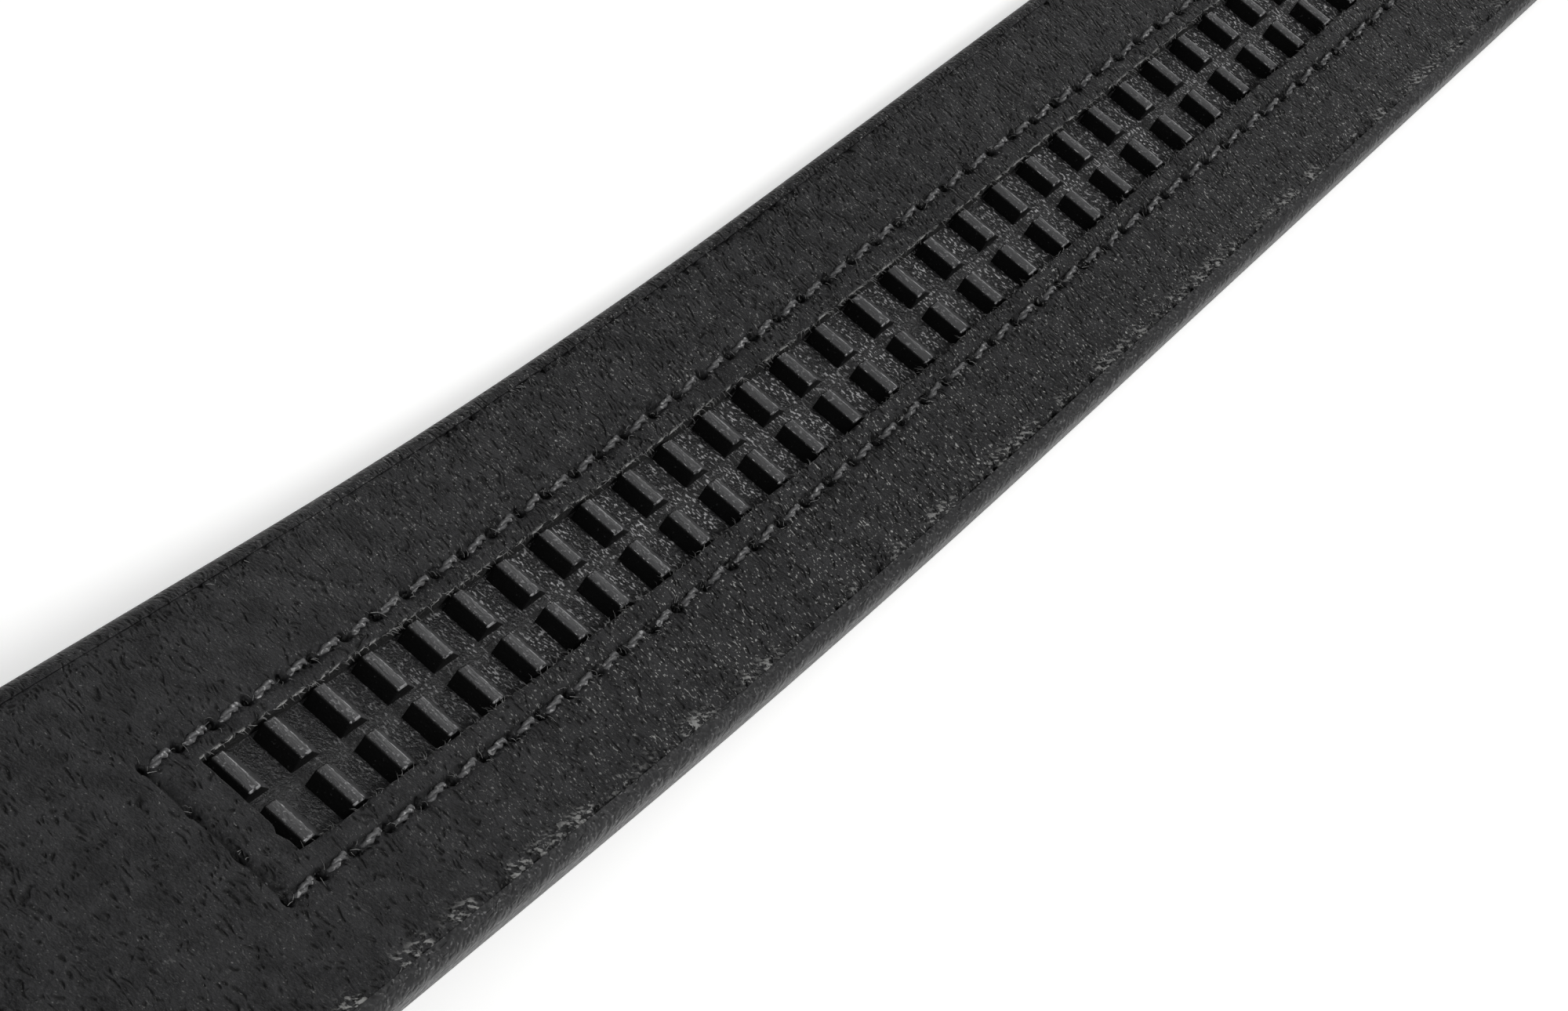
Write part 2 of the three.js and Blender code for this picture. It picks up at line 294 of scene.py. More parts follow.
def cells(tree, size, turn=(0, 0, 0)):
    """Distance from the middle of scattered cells, this many millimetres large, and each cell's number."""
    space = swayed(tree, pattern_space(tree, size, turn), 2.2, 3.0)
    made = add(tree, "ShaderNodeTexVoronoi", {"Vector": space, "Scale": 1.0})
    number = add(tree, "ShaderNodeSeparateColor", {0: made.outputs["Color"]}).outputs[0]
    return made.outputs["Distance"], number


def pores(tree, size, turn, share, wide):
    """Dark strokes in this share of the cells, each wide over this much of its cell."""
    far, number = cells(tree, size, turn)
    kept = between(tree, number, 1 - share, 1 - share + 0.1)
    return calc(tree, between(tree, far, wide, wide * 0.25), kept, "MULTIPLY")


def scaled(tree, value, amount):
    """The product of two values or sockets."""
    return calc(tree, value, amount, "MULTIPLY")


def place_along(tree, axis):
    """The place along one axis, in millimetres."""
    return add(tree, "ShaderNodeSeparateXYZ", {0: pattern_space(tree, (1, 1, 1))}).outputs[axis]


def use_wear(tree, least):
    """Rises from this least value at the window's end to 1 where the pawl and the hand rub the belt."""
    start = laid((WINDOW_START, 0, 0)).x
    along = place_along(tree, "X")
    return between(tree, along, start / MM, (start + WEAR_LENGTH) / MM, least, 1.0)


def backing_finish():
    """Split cowhide, drum dyed and pigmented black: open pores and short creases across the strap.

    Pale specks of rubbed grit and lint on the toothed stretch double as painted glints, pale fray shows
    beside the -Y seam, and crumbs at both rims, creases and needle holes are painted dark as painted
    shade.
    """
    material, tree, shader = new_material("pigmented_split_leather")
    fine = pores(tree, (0.72, 1.35, 1.2), (0, 0, 0.16), 0.85, 0.42)
    coarse = pores(tree, (1.3, 2.5, 2.2), (0, 0, 0.3), 0.45, 0.36)
    grain = speckle(tree, (0.3, 0.36, 0.34), detail=3.0, rough=0.62)
    mottle = speckle(tree, (2.6, 2.2, 2.2), detail=3.0)
    # Pale lint specks, which also serve as painted glints at the pore rims.
    lint_and_glint = between(tree, speckle(tree, (0.16, 0.2, 0.16), detail=0.0), 0.765, 0.83)
    lint_and_glint = scaled(tree, lint_and_glint, between(tree, mottle, 0.35, 0.6, 0.25, 1.0))
    lint_and_glint = scaled(tree, lint_and_glint, use_wear(tree, 0.3))
    grit_and_glint = between(tree, speckle(tree, (0.2, 0.42, 0.35), (0, 0, 0.25), detail=1.0), 0.645, 0.7)
    grit_and_glint = scaled(tree, grit_and_glint, use_wear(tree, 0.12))
    grit_and_glint = scaled(tree, grit_and_glint, between(tree, mottle, 0.3, 0.65, 0.4, 1.0))
    across = place_along(tree, "Y")
    grit_and_glint = scaled(tree, grit_and_glint, between(tree, across, 7, -7, 0.45, 1.0))
    seam = SEAM_HALF / MM
    patches = between(tree, speckle(tree, (3.2, 9, 9), detail=2.0), 0.44, 0.58)
    inner_side = between(tree, across, 1.7 - seam, 0.4 - seam)
    beside = scaled(tree, inner_side, between(tree, across, -0.5 - seam, -0.2 - seam))
    tufts = between(tree, speckle(tree, (0.75, 0.3, 0.3), (0, 0, 0.4), detail=3.0), 0.5, 0.6)
    fray = scaled(tree, scaled(tree, beside, patches), tufts)
    # Dark strokes: the grain's own pores and handling marks, with painted shade in the creases and in the
    # crumbled pits along both rims.
    creases = scaled(tree, pores(tree, (1.7, 7, 6), (0, 0, 0.3), 0.5, 0.19), 0.8)
    pores_and_crease_shade = calc(tree, calc(tree, fine, coarse, "MAXIMUM"), creases, "MAXIMUM")
    inward = calc(tree, seam, calc(tree, across, 0.0, "ABSOLUTE"), "SUBTRACT")
    rim = scaled(tree, between(tree, inward, 1.8, 0.5), between(tree, inward, -0.9, -0.3))
    crumbled = pores(tree, (0.62, 0.5, 0.5), (0, 0, 0.2), 0.62, 0.52)
    pores_and_crease_shade = calc(tree, pores_and_crease_shade, scaled(tree, rim, crumbled), "MAXIMUM")
    handled = scaled(tree, pores(tree, (0.5, 1.5, 1.3), (0, 0, 0.22), 0.6, 0.5), use_wear(tree, 0.0))
    pores_and_crease_shade = calc(tree, pores_and_crease_shade, handled, "MAXIMUM")
    shaded = add(tree, "ShaderNodeAttribute", attribute_name="painted_hole_shade").outputs["Fac"]
    cut = add(tree, "ShaderNodeAttribute", attribute_name="pale_cut_and_highlight").outputs["Fac"]
    cut = scaled(tree, cut, between(tree, speckle(tree, (1.1, 0.4, 0.4), detail=3.0), 0.49, 0.58))
    tone = blended(tree, between(tree, mottle, 0.3, 0.7), hex_colour("#1b1b1c"), hex_colour("#2e2e2f"))
    tone = blended(tree, scaled(tree, between(tree, grain, 0.45, 0.8), 0.5), tone, hex_colour("#444446"))
    # Near black for the dark strokes: the pores, and painted shade in the creases and rim pits.
    tone = blended(tree, scaled(tree, pores_and_crease_shade, 0.95), tone, hex_colour("#060606"))
    # Pale specks of grit and lint, which also stand in as painted glints.
    tone = blended(tree, grit_and_glint, tone, hex_colour("#a6a6a4"))
    tone = blended(tree, lint_and_glint, tone, hex_colour("#b0b0ae"))
    tone = blended(tree, scaled(tree, fray, 0.8), tone, hex_colour("#9c9c9a"))
    # Pale cut fibres along the window's edge, paler on the +Y side as a painted highlight.
    tone = blended(tree, cut, tone, hex_colour("#c0c0be"))
    # Painted shade, near black, in the needle holes, along the thread grooves and in the seam's pits.
    tone = blended(tree, shaded, tone, hex_colour("#020202"))
    tree.links.new(tone, shader.inputs["Base Color"])
    rough = between(tree, grain, 0.3, 0.7, 0.36, 0.52)
    tree.links.new(rough, shader.inputs["Roughness"])
    shader.inputs["IOR"].default_value = LEATHER_IOR
    shader.inputs["Specular IOR Level"].default_value = 0.12
    height = calc(tree, scaled(tree, grain, 0.9), scaled(tree, pores_and_crease_shade, 0.8), "SUBTRACT")
    height = calc(tree, height, scaled(tree, mottle, 0.8))
    raise_surface(tree, shader, height, 0.17)
    return material


def face_finish():
    """Full-grain cowhide with a black, lightly waxed face: fine creases run over the turned edge, painted
    darker as painted shade, and pale grit specks are painted highlights.
    """
    material, tree, shader = new_material("waxed_full_grain_leather")
    grain = speckle(tree, (0.3, 0.3, 0.3), detail=3.0)
    pebble = between(tree, cells(tree, (0.8, 0.6, 0.6))[0], 0.2, 0.75)
    creases = pores(tree, (2.6, 0.36, 0.3), (0, 0, 0.06), 0.5, 0.34)
    mottle = speckle(tree, (5, 4, 4), detail=2.0)
    tone = blended(tree, mottle, hex_colour("#212122"), hex_colour("#2c2c2d"))
    # Painted shade in the creases.
    tone = blended(tree, scaled(tree, creases, 0.5), tone, hex_colour("#0c0c0c"))
    # Pale grit specks: painted highlights on the grain.
    grit_and_glint = between(tree, speckle(tree, (0.4, 0.26, 0.26), detail=1.0), 0.64, 0.72)
    tone = blended(tree, scaled(tree, grit_and_glint, 0.45), tone, hex_colour("#8a8a8a"))
    tree.links.new(tone, shader.inputs["Base Color"])
    rough = between(tree, grain, 0.3, 0.7, 0.38, 0.50)
    tree.links.new(rough, shader.inputs["Roughness"])
    shader.inputs["IOR"].default_value = LEATHER_IOR
    shader.inputs["Specular IOR Level"].default_value = 0.32
    height = calc(tree, scaled(tree, grain, 0.35), scaled(tree, pebble, 0.5), "SUBTRACT")
    height = calc(tree, height, scaled(tree, creases, 0.6), "SUBTRACT")
    raise_surface(tree, shader, height, 0.16)
    return material


def raw_edge_finish():
    """The cut through the leather, dyed near black but left open: matt, with a few paler strands."""
    material, tree, shader = new_material("raw_cut_leather")
    strands = speckle(tree, (0.35, 0.35, 0.09), detail=3.0, rough=0.6)
    broken = scaled(tree, between(tree, strands, 0.56, 0.68), speckle(tree, (0.8, 0.8, 0.8), detail=2.0))
    tone = blended(tree, broken, hex_colour("#080808"), hex_colour("#7c7c7b"))
    tree.links.new(tone, shader.inputs["Base Color"])
    shader.inputs["Roughness"].default_value = 0.8
    raise_surface(tree, shader, strands, 0.15)
    return material


def floor_finish():
    """Injection-moulded black nylon from a spark-eroded mould: coarse grains on the level floor, with
    bright specks that are painted glints.
    """
    material, tree, shader = new_material("spark_textured_nylon")
    grains = speckle(tree, (0.3, 0.3, 0.3), detail=3.0, rough=0.7)
    patches = speckle(tree, (1.6, 3.0, 1.6), detail=2.0)
    crumbs = speckle(tree, (0.2, 0.42, 0.3), detail=1.0)
    # Painted glints: pale specks on the grains, fewer near the window's end.
    glint = scaled(tree, between(tree, crumbs, 0.57, 0.66), between(tree, patches, 0.3, 0.62, 0.3, 1.0))
    glint = scaled(tree, glint, use_wear(tree, 0.1))
    tone = blended(tree, patches, hex_colour("#161617"), hex_colour("#242425"))
    tone = blended(tree, glint, tone, hex_colour("#b4b4b5"))
    tree.links.new(tone, shader.inputs["Base Color"])
    tree.links.new(between(tree, patches, 0.3, 0.7, 0.26, 0.42), shader.inputs["Roughness"])
    shader.inputs["IOR"].default_value = NYLON_IOR
    raise_surface(tree, shader, grains, 0.22)
    return material


def shadow_finish():
    """The same nylon on the teeth's steep walls and sides, drawn smooth by the mould and matt: a shaded
    copy painted near black as painted shade, with sparse pale specks as painted glints.
    """
    material, tree, shader = new_material("nylon_wall_painted_shade")
    grains = speckle(tree, (0.25, 0.25, 0.25), detail=2.0)
    # Near black as painted shade, with sparse pale specks as painted glints.
    tone = blended(tree, between(tree, grains, 0.66, 0.76), hex_colour("#0a0a0a"), hex_colour("#4c4c4d"))
    tree.links.new(tone, shader.inputs["Base Color"])
    shader.inputs["Roughness"].default_value = 0.6
    shader.inputs["IOR"].default_value = NYLON_IOR
    shader.inputs["Specular IOR Level"].default_value = 0.3
    raise_surface(tree, shader, grains, 0.05)
    return material


def edge_glint_finish():
    """The teeth's upper edges: low roughness, and a pale colour that is a painted highlight for the glints
    along them.
    """
    material, tree, shader = new_material("nylon_edge_painted_glint")
    glint_pattern = speckle(tree, (0.5, 0.5, 0.3), detail=2.0)
    # Pale tone as a painted highlight along the edges.
    tone = blended(tree, between(tree, glint_pattern, 0.44, 0.6), hex_colour("#303031"), hex_colour("#949495"))
    tree.links.new(tone, shader.inputs["Base Color"])
    shader.inputs["Roughness"].default_value = 0.3
    shader.inputs["IOR"].default_value = NYLON_IOR
    raise_surface(tree, shader, glint_pattern, 0.03)
    return material


def land_finish():
    """The same nylon where the mould was polished: smooth lands with a few fine scratches, a lighter copy
    of the floor's nylon as painted sheen, with pale specks as painted glints.
    """
    material, tree, shader = new_material("smooth_nylon_painted_sheen")
    scratches = speckle(tree, (0.2, 2.2, 1), (0, 0, 0.1), detail=2.0)
    grains = speckle(tree, (0.28, 0.28, 0.28), detail=1.0)
    # Lighter than the floor's nylon as painted sheen, with pale specks as painted glints.
    tone = blended(tree, scratches, hex_colour("#333334"), hex_colour("#474748"))
    tone = blended(tree, scaled(tree, between(tree, grains, 0.6, 0.7), 0.6), tone, hex_colour("#8a8a8b"))
    tree.links.new(tone, shader.inputs["Base Color"])
    shader.inputs["Roughness"].default_value = 0.36
    shader.inputs["IOR"].default_value = NYLON_IOR
    raise_surface(tree, shader, calc(tree, scratches, grains), 0.03)
    return material


def thread_finish():
    """Bonded nylon sewing thread, black and slightly glossy, with fine filaments along each ply and pale
    specks as painted glints.
    """
    material, tree, shader = new_material("bonded_nylon_thread")
    filaments = speckle(tree, (0.3, 0.06, 0.06), detail=2.0)
    tone = blended(tree, filaments, hex_colour("#282829"), hex_colour("#707071"))
    # Pale specks as painted glints on the thread.
    glint_specks = between(tree, speckle(tree, (0.3, 0.3, 0.3), detail=0.0), 0.64, 0.72)
    tone = blended(tree, scaled(tree, glint_specks, 0.7), tone, hex_colour("#b8b8b8"))
    tree.links.new(tone, shader.inputs["Base Color"])
    shader.inputs["Roughness"].default_value = 0.42
    shader.inputs["IOR"].default_value = NYLON_IOR
    raise_surface(tree, shader, filaments, 0.03)
    return material


def fibre_finish():
    """Loose leather fibre, paler than the dyed face because the cut opened it."""
    material, tree, shader = new_material("raw_leather_fibre")
    tone = blended(tree, speckle(tree, (0.6, 0.6, 0.6)), hex_colour("#454545"), hex_colour("#a4a4a3"))
    tree.links.new(tone, shader.inputs["Base Color"])
    shader.inputs["Roughness"].default_value = 0.6
    return material


def nickel_finish():
    """Die-cast zinc with a dark nickel plate, brushed along the belt."""
    material, tree, shader = new_material("brushed_dark_nickel")
    strokes = speckle(tree, (9, 0.12, 0.12), detail=4.0, rough=0.7)
    cloud = speckle(tree, (7, 7, 7), detail=2.0)
    tone = blended(tree, cloud, hex_colour("#77787b"), hex_colour("#8b8c8f"))
    tree.links.new(tone, shader.inputs["Base Color"])
    shader.inputs["Metallic"].default_value = 1.0
    rough = between(tree, strokes, 0.3, 0.7, 0.26, 0.42)
    tree.links.new(rough, shader.inputs["Roughness"])
    raise_surface(tree, shader, strokes, 0.015)
    return material


# Making pieces

def new_verts(made):
    """The vertices among what an extrusion made."""
    return [item for item in made["geom"] if isinstance(item, bmesh.types.BMVert)]


def bell(gap, width):
    """1 at no distance, falling softly to 0 over a few times this width."""
    return math.exp(-((gap / width) ** 2))


def finish_piece(bm, name, materials, nodes=(), sharp=math.radians(40), flat_piece=True):
    """Bends a flat shape, makes it an object and puts it in the frame."""
    if flat_piece:
        for vertex in bm.verts:
            vertex.co = laid(vertex.co)
    mesh = bpy.data.meshes.new(name)
    bm.to_mesh(mesh)
    bm.free()
    for material in materials:
        mesh.materials.append(material)
    mesh.shade_smooth()
    mesh.set_sharp_from_angle(angle=sharp)
    piece = bpy.data.objects.new(name, mesh)
    bpy.context.scene.collection.objects.link(piece)
    if nodes:
        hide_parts(*nodes)
    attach(piece, "root")
    return piece


def steps(low, high, step):
    """Places from low up to, but not at, high, about this far apart."""
    count = max(1, round((high - low) / step))
    return [low + (high - low) * i / count for i in range(count)]


def half_width(s, inset):
    """Half of the width, at a place, of an outline this far inside the strap's own."""
    half = STRAP_WIDTH / 2 - inset
    radius = TIP_RADIUS - inset
    into = s - (STRAP_LENGTH - inset - radius)
    if into <= 0:
        return half
    return half - radius + math.sqrt(max(radius * radius - into * into, 0))


# Stitches

def left_row(s):
    """Where the stitch row on the +Y side runs: it wanders a little, as sewn."""
    return (6.95 + 0.45 * math.sin((s / MM - 848) / 30)) * MM


def right_row(s):
    """The same for the row on the -Y side."""
    return (-7.15 + 0.2 * math.sin((s / MM - 868) / 22)) * MM


def seam_holes():
    """Needle holes of each of the four straight runs of the seam, corner to corner."""
    dice = random.Random(4)
    count = round((STITCH_STOP - STITCH_START) / STITCH_PITCH)
    runs = []
    for row in (left_row, right_row):
        holes = []
        for i in range(count + 1):
            loose = 0 if i in (0, count) else dice.uniform(-0.18, 0.18) * MM
            s = STITCH_START + (STITCH_STOP - STITCH_START) * i / count + loose
            holes.append((s, row(s) + dice.uniform(-0.08, 0.08) * MM))
        runs.append(holes)
    for end in (0, -1):
        (s, high), (_, low) = runs[0][end], runs[1][end]
        holes = [(s, high + (low - high) * i / END_STITCHES) for i in range(END_STITCHES + 1)]
        runs.append(holes)
    return runs


seams = seam_holes()
all_holes = sorted({hole for run in seams for hole in run})


def tube(bm, centre, radius, rings, sides):
    """A thin closed tube along centre(u), which gives a point and two directions across."""
    made = bmesh.ops.create_grid(bm, x_segments=rings, y_segments=sides, size=1)
    for vertex in made["verts"]:
        u = (vertex.co.x + 1) / 2
        angle = math.pi * vertex.co.y
        point, side, up = centre(u)
        vertex.co = point + (side * math.cos(angle) + up * math.sin(angle)) * radius(u)


def close_tubes(bm):
    """Joins the seam along each tube and fills its two ends."""
    bmesh.ops.remove_doubles(bm, verts=bm.verts[:], dist=0.002 * MM)
    bmesh.ops.holes_fill(bm, edges=[e for e in bm.edges if e.is_boundary], sides=12)
    bmesh.ops.recalc_face_normals(bm, faces=bm.faces[:])


def sew_stitch(bm, start, end, sunk, dice):
    """One stitch of two twisted plies, sunk this deep and drawn into its needle holes at both ends."""
    run = Vector((end[0] - start[0], end[1] - start[1], 0))
    length = run.length
    along = run / length
    side = Vector((-along.y, along.x, 0))
    slant = dice.uniform(0.1, 0.3) * MM
    phase = dice.uniform(0, math.tau)
    lift = dice.uniform(-0.06, 0.06) * MM - sunk
    inset = 0.3 * MM

    def middle(u):
        rise = 1 - abs(2 * u - 1) ** 3
        height = STRAP_THICKNESS - 1.25 * MM + (1.24 * MM + lift) * rise
        place = Vector((start[0], start[1], height)) + along * (inset + (length - 2 * inset) * u)
        return place + side * slant * (2 * u - 1)

    def ply(turn):
        def centre(u):
            angle = phase + turn + math.tau * u * length / PLY_TWIST
            offset = side * math.cos(angle) + Vector((0, 0, 1)) * math.sin(angle)
            return middle(u) + offset * PLY_RADIUS * PLY_APART, side, Vector((0, 0, 1))
        return centre

    for turn in (0, math.pi):
        tube(bm, ply(turn), lambda u: PLY_RADIUS, 22, 6)


def make_stitches(material):
    """All the stitches round the window, those across its two ends sunk deeper."""
    dice = random.Random(11)
    bm = bmesh.new()
    for index, run in enumerate(seams):
        sunk = 0 if index < 2 else END_ROW_SUNK
        for start, end in zip(run, run[1:]):
            sew_stitch(bm, start, end, sunk, dice)
    close_tubes(bm)
    return finish_piece(bm, "stitches", [material], sharp=math.radians(80))


# Leathers

def cut_lengthwise(bm, places):
    """Cuts a flat shape across at each place, so that it can bend."""
    for s in places:
        geometry = bm.verts[:] + bm.edges[:] + bm.faces[:]
        bmesh.ops.bisect_plane(bm, geom=geometry, dist=1e-7, plane_co=(s, 0, 0), plane_no=(1, 0, 0))


def outline_face(bm, inset, height):
    """The strap's outline, seen from above, as one face."""
    radius = TIP_RADIUS - inset
    half = STRAP_WIDTH / 2 - inset
    centre_s = STRAP_LENGTH - inset - radius
    right = [
        (centre_s + radius * math.sin(turn), -(half - radius) - radius * math.cos(turn))
        for turn in CORNER_TURNS
    ]
    left = [(s, -y) for s, y in reversed(right)]
    corners = [(0, -half)] + right + left + [(0, half)]
    return bm.faces.new([bm.verts.new((s, y, height)) for s, y in corners])


def make_face_leather(material, pored):
    """A shallow tray: the outer leather, turned up round both long edges and the tip."""
    bm = bmesh.new()
    bottom = outline_face(bm, 0, 0)
    raised = bmesh.ops.extrude_face_region(bm, geom=[bottom], use_keep_orig=True)
    bmesh.ops.translate(bm, verts=new_verts(raised), vec=(0, 0, STRAP_THICKNESS))
    bmesh.ops.recalc_face_normals(bm, faces=bm.faces[:])
    rims = [e for e in bm.edges if abs(e.verts[0].co.z - e.verts[1].co.z) < 1e-6]
    bmesh.ops.bevel(
        bm, geom=rims, offset=EDGE_RADIUS, segments=EDGE_SEGMENTS, profile=0.5, affect="EDGES",
        material=-1,
    )
    top = max(bm.faces, key=lambda face: (face.calc_center_median().z, face.calc_area()))
    bmesh.ops.inset_region(bm, faces=[top], thickness=FACE_THICKNESS - EDGE_RADIUS, use_even_offset=True)
    sunk = bmesh.ops.extrude_face_region(bm, geom=[top])
    bmesh.ops.translate(bm, verts=new_verts(sunk), vec=(0, 0, FACE_THICKNESS - STRAP_THICKNESS))
    if top.is_valid:
        bm.faces.remove(top)
    cut_lengthwise(bm, steps(4 * MM, STRAP_LENGTH - TIP_RADIUS - 1 * MM, BEND_STEP))
    bm.normal_update()
    for face in bm.faces:      # the turned-up rim on the +Y side is as pored as the leather beside it
        if face.normal.z > 0.55 and face.calc_center_median().y > 0:
            face.material_index = 1
    return finish_piece(bm, "face_leather_shell", [material, pored], ["face_leather"])


def backing_stations():
    """Places along the backing's grid, close together round the window and the tip's corners."""
    last = STRAP_LENGTH - BACKING_INSET
    radius = TIP_RADIUS - BACKING_INSET
    fine_from, fine_to = STITCH_START - 3 * MM, STITCH_STOP + 3 * MM
    window = [WINDOW_START - d * MM for d in reversed(CUT_STEPS)] + [WINDOW_START]
    places = steps(0, SEEN_FROM, BEND_STEP) + steps(SEEN_FROM, fine_from, 0.6 * MM)
    places += steps(fine_from, window[0], 0.2 * MM) + window[:-1]
    places += steps(WINDOW_START, WINDOW_STOP, 0.3 * MM) + [WINDOW_STOP]
    places += [WINDOW_STOP + d * MM for d in CUT_STEPS[:-1]]
    places += steps(WINDOW_STOP + CUT_STEPS[-1] * MM, fine_to, 0.3 * MM)
    places += steps(fine_to, last - radius, BEND_STEP)
    return places + [last - radius + radius * math.sin(turn) for turn in CORNER_TURNS]


def backing_columns():
    """Places across the backing's grid, close together at its cut edges and under the stitches."""
    half = STRAP_WIDTH / 2 - BACKING_INSET
    outward = [WINDOW_HALF + d * MM for d in (0.0, *CUT_STEPS)]
    outward += steps(WINDOW_HALF + 0.8 * MM, 5.9 * MM, 0.35 * MM)
    outward += steps(5.9 * MM, 8.0 * MM, 0.2 * MM)
    outward += steps(8.0 * MM, half - 0.6 * MM, 1.0 * MM)
    outward += [half - d * MM for d in (0.6, 0.4, 0.24, 0.1, 0.04, 0.0)]
    inward = steps(-WINDOW_HALF, WINDOW_HALF, 0.48 * MM)[1:]
    return [-y for y in reversed(outward)] + inward + outward


def wander(s, y, size, amount, seed):
    """Smooth noise of this size and amount in millimetres."""
    return amount * MM * noise.noise(Vector((s / (size * MM), y / (size * MM), seed)))


def edge_round(gap, radius):
    """How far a worn cut edge falls, this far in from it."""
    inside = radius - max(gap, 0)
    return radius - math.sqrt(radius * radius - max(inside, 0) ** 2)


def window_gap(s, y):
    """Distance from a place on the backing to the window's edge."""
    outside_y = abs(y) - WINDOW_HALF
    outside_s = max(WINDOW_START - s, s - WINDOW_STOP)
    if outside_y > 0 and outside_s > 0:
        return math.hypot(outside_y, outside_s)
    return max(outside_y, outside_s)


def sort_holes():
    """The needle holes, listed under each stretch of strap that they can reach."""
    bins = {}
    for hole in all_holes:
        middle = int(hole[0] / HOLE_BIN)
        for near in (middle - 1, middle, middle + 1):
            bins.setdefault(near, []).append(hole)
    return bins


hole_bins = sort_holes()


def hole_pull(s, y):
    """Depth of the dimple that the needle holes near this place make."""
    fall = 0.0
    for hole_s, hole_y in hole_bins.get(int(s / HOLE_BIN), ()):
        if abs(hole_s - s) < HOLE_BIN and abs(hole_y - y) < HOLE_BIN:
            gap = math.hypot(hole_s - s, hole_y - y)
            fall += HOLE_DEPTH * bell(gap, HOLE_RADIUS)
            fall += 0.10 * MM * bell(gap, 2.4 * HOLE_RADIUS)                       # drawn in round it
            fall -= 0.07 * MM * bell(gap - 1.7 * HOLE_RADIUS, 0.5 * HOLE_RADIUS)   # raised rim
    return fall


def row_pull(s, y):
    """Depth of the shallow groove that the thread pulls along its row."""
    if not STITCH_START - 0.3 * MM < s < STITCH_STOP + 0.3 * MM:
        return 0.0
    gap = min(abs(y - left_row(s)), abs(y - right_row(s)))
    if right_row(s) < y < left_row(s):
        gap = min(gap, abs(s - STITCH_START), abs(s - STITCH_STOP))
    return GROOVE_DEPTH * bell(gap, GROOVE_WIDTH)


def seam_pit(s, y, half):
    """Small pits where the backing's cut edge has crumbled beside the seam, mostly on the -Y side."""
    gap = half - abs(y)
    if gap > PIT_REACH:
        return 0.0
    rough = noise.noise(Vector((s / (0.9 * MM), y / (4 * MM), 3.1)))
    stretch = noise.noise(Vector((s / (14 * MM), 0, 8.3 if y > 0 else 1.7)))
    start = 0.06 if y > 0 else 0.02
    return PIT_DEPTH * max(rough + 0.5 * stretch - start, 0) * (1 - gap / PIT_REACH)


def backing_fall(s, y, half):
    """How far the backing's face lies under its full height."""
    fall = edge_round(half - abs(y), 0.04 * MM) + seam_pit(s, y, half)
    near_window = WINDOW_START - 8 * MM < s < WINDOW_STOP + 8 * MM
    if near_window and abs(y) < 9 * MM:
        fall += edge_round(max(window_gap(s, y), 0), 0.22 * MM)
        fall += hole_pull(s, y) + row_pull(s, y)
    fall += 0.03 * MM + wander(s, y, 5, 0.05, 2.5) + wander(s, y, 1.3, 0.02, 7.5)
    return max(fall, 0.0)


def painted_hole_shade(s, y):
    """How dark painted shade makes this place: needle holes, thread grooves and the seam's pits."""
    shade = seam_pit(s, y, STRAP_WIDTH / 2 - BACKING_INSET) / (0.35 * MM)
    for hole_s, hole_y in hole_bins.get(int(s / HOLE_BIN), ()):
        gap = math.hypot(hole_s - s, hole_y - y) / HOLE_RADIUS
        shade = max(shade, 2.4 * bell(gap, 1))
    if right_row(s) < y < left_row(s):
        gap = min(abs(s - STITCH_START), abs(s - STITCH_STOP))
        shade = max(shade, 0.85 * bell(gap, 0.26 * MM))
    if STITCH_START < s < STITCH_STOP:
        place, width = GROOVE_SHADE
        shade = max(shade, 0.8 * bell(y - right_row(s) - place, width))
    return min(1, shade)


def mark_surface(bm):
    """Keeps on each vertex how dark its painted shade is, and how near it lies to the window's cut, which
    the backing paints pale with a painted highlight on the +Y side.
    """
    shade = bm.verts.layers.float.new("painted_hole_shade")
    cut = bm.verts.layers.float.new("pale_cut_and_highlight")
    for vertex in bm.verts:
        s, y, z = vertex.co
        if z > NEAR_FACE:
            vertex[shade] = painted_hole_shade(s, y)
            # The +Y cut edge is paler than the -Y one: a painted highlight on top of the pale fibres.
            pale_and_lit = 1.0 if y > WINDOW_HALF - 0.1 * MM else 0.3
            vertex[cut] = pale_and_lit * bell(max(window_gap(s, y), 0), 0.08 * MM)


